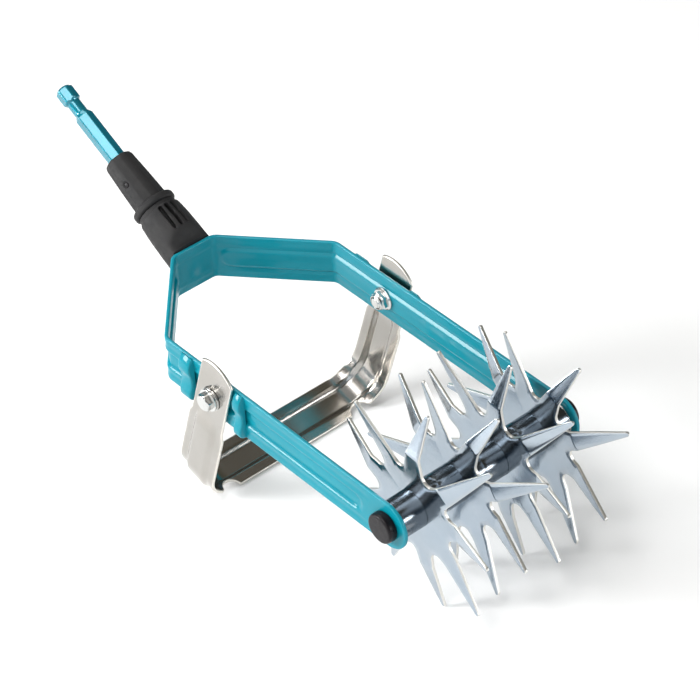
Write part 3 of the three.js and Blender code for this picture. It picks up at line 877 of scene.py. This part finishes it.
for side, s in SIDES:
    place = Matrix.Translation((0, PIVOT_Y, 0)) @ sided(s)
    spin = Matrix.Rotation(math.radians(17), 4, "Z")
    h0 = BLADE_IN + BLADE_T + 0.3
    n1 = LEG_OUT - STRIP_T - 1.2 - 0.3
    x0 = n1 - 7.5
    # head: plain washer face, spring washer, hexagon
    head = hexed_head(10.6, h0 + 1, h0 + 7)
    land = lathe(rounded([(0, h0), (8.0, h0, 0.2), (8.0, h0 + 1.2, 0.25), (7.3, h0 + 1.25, 0),
                          (7.3, h0 + 1.4, 0), (7.7, h0 + 1.45, 0.1), (7.7, h0 + 2.8, 0.3),
                          (0, h0 + 2.8)], 0.2, 3), 80)
    shank = [(0, x0), (3.1, x0, 0.4), (3.9, x0 + 0.9, 0.1)]
    x = x0 + 1.2
    while x < h0 - 1.2:
        shank += [(3.95, x, 0), (3.55, x + 0.5, 0)]
        x += 1.0
    shank += [(4, h0, 0), (4, h0 + 0.3, 0), (0, h0 + 0.3)]
    shank = lathe(rounded(shank, 0, 2), 48)
    piece(f"pivot_bolt_{side}_body", [head, land, shank], bolt, "frame",
          [f"{side}_pivot_bolt"], place @ spin, sharp=32)
    w = lathe(rounded([(4.3, 70.3), (9, 70.3), (9, 71.3), (4.3, 71.3)], 0.3, 3), 64)
    piece(f"pivot_washer_{side}_ring", [w], bolt, "frame",
          [f"{side}_pivot_washer"], place, sharp=40)
    # locking nut: flange and hexagon run into a round crimped end
    hexa = hex_shape(11.6)

    def nut_shape(a, r, z, hexa=hexa, low=n1 - 4.9, high=n1 - 1.8):
        return hexa(a, r, z) if low < z < high else r

    prof = [(4.3, n1, 0.2), (8, n1, 0.3), (8, n1 - 0.7, 0.4), (6.9, n1 - 1.75, 0.2),
            (6.9, n1 - 4.0, 0.5), (5.6, n1 - 5.0, 0.4), (5.3, n1 - 5.2, 0.3),
            (5.1, n1 - 6.6, 0.7), (4.3, n1 - 7.0, 0.2)]
    nut = lathe(densify(rounded(prof, 0.2, 4), 0.7), 96, nut_shape)
    piece(f"pivot_nut_{side}_body", [nut], bolt, "frame",
          [f"{side}_pivot_nut"], place @ spin, sharp=32)

# ---- hidden CAD nodes that still show through gaps ----------------------------------------
for node, material in (("axle_rod", bolt), ("near_bearing_bush", cap_black),
                       ("far_bearing_bush", cap_black)):
    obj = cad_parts[node]
    obj.data.materials.clear()
    obj.data.materials.append(material)

# ---- floor, light, camera -----------------------------------------------------------------
FLOOR_HALF, FLOOR_Z = 6.0, -0.0006
me = bpy.data.meshes.new("floor")
me.from_pydata([(x * FLOOR_HALF, y * FLOOR_HALF, FLOOR_Z)
                for x, y in ((-1, -1), (1, -1), (1, 1), (-1, 1))], [], [(0, 1, 2, 3)])
floor = bpy.data.objects.new("floor", me)
bpy.context.scene.collection.objects.link(floor)
k = Mat("floor_paper", Roughness=0.9, Specular_IOR_Level=0.2)
k.link(k.ramp(k.noise(3, 3), ((0.3, 0.90), (0.7, 0.92))), k.p.inputs["Base Color"])
k.p.inputs["Emission Color"].default_value = (1, 1, 1, 1)
away = k.add("ShaderNodeVectorMath", Vector=k.co)      # the paper stays pale further out
away.operation = "LENGTH"
k.link(k.span(away.outputs["Value"], 0.07, 0.80, 1.2, 4.0), k.p.inputs["Emission Strength"])
me.materials.append(k.m)


def lamp(name, at, to, size, power, colour=(1, 1, 1), size_y=None):
    data = bpy.data.lights.new(name, "AREA")
    data.shape = "RECTANGLE"
    data.size, data.size_y = size, size_y or size
    data.energy = power
    data.color = colour
    obj = bpy.data.objects.new(name, data)
    bpy.context.scene.collection.objects.link(obj)
    obj.location = at
    obj.rotation_euler = (Vector(to) - Vector(at)).to_track_quat("-Z", "Y").to_euler()
    return obj


centre = (0, -0.02, 0.08)
lamp("key", (-1.02, -0.36, 1.95), centre, 0.8, 15)
lamp("back_top", (-0.05, 1.1, 2.3), centre, 1.6, 30)
lamp("camera_left", (-1.75, -0.95, 1.05), centre, 2.0, 22)
lamp("back_left_strip", (-1.40, 0.98, 0.72), centre, 0.6, 38, (1, 1, 1), 0.7)
lamp("front_strip", (0.98, -1.72, 0.34), centre, 0.9, 14, (1, 1, 1), 0.34)

world = bpy.data.worlds.new("studio")
bpy.context.scene.world = world
world.use_nodes = True
wt = world.node_tree
back = wt.nodes["Background"]
geo = wt.nodes.new("ShaderNodeTexCoord")
sep = wt.nodes.new("ShaderNodeSeparateXYZ")
wt.links.new(geo.outputs["Generated"], sep.inputs[0])
ramp = wt.nodes.new("ShaderNodeValToRGB")
wt.links.new(sep.outputs["Z"], ramp.inputs["Fac"])
stops = ((0.0, (0.06, 0.17, 0.27)), (0.16, (0.04, 0.11, 0.17)), (0.36, (0.05, 0.055, 0.05)),
         (0.88, (0.15, 0.135, 0.10)), (0.97, (0.3, 0.3, 0.3)), (1.0, (0.5, 0.5, 0.5)))
e = ramp.color_ramp.elements
while len(e) < len(stops):
    e.new(0.5)
for i, (at, c) in enumerate(stops):
    e[i].position, e[i].color = at, (*c, 1)
path = wt.nodes.new("ShaderNodeLightPath")
mixer = wt.nodes.new("ShaderNodeMix")
mixer.data_type = "RGBA"
wt.links.new(path.outputs["Is Camera Ray"], mixer.inputs[0])
wt.links.new(ramp.outputs["Color"], mixer.inputs[6])
mixer.inputs[7].default_value = (0.86, 0.86, 0.86, 1)
wt.links.new(mixer.outputs[2], back.inputs["Color"])
back.inputs["Strength"].default_value = 0.9

bpy.context.scene.view_settings.view_transform = "Standard"
bpy.context.scene.view_settings.exposure = 0.0

CAMERA_AT = (-911.60, -1007.04, 1236.68)           # mm, in the yoke's own frame
CAMERA_TURN = (49.9115, 2.1041, -40.9462)          # degrees, in the yoke's own frame
LENS, SENSOR = 160.08, 36.0
cam = bpy.data.cameras.new("camera")
cam.lens, cam.sensor_width = LENS, SENSOR
cam.clip_start, cam.clip_end = 0.05, 20
camera = bpy.data.objects.new("camera", cam)
bpy.context.scene.collection.objects.link(camera)
camera.location = M @ Vector(CAMERA_AT)
look = Euler([math.radians(x) for x in CAMERA_TURN]).to_matrix().to_4x4()
camera.rotation_euler = (Matrix.Rotation(TILT, 4, "X") @ look).to_euler()
bpy.context.scene.camera = camera
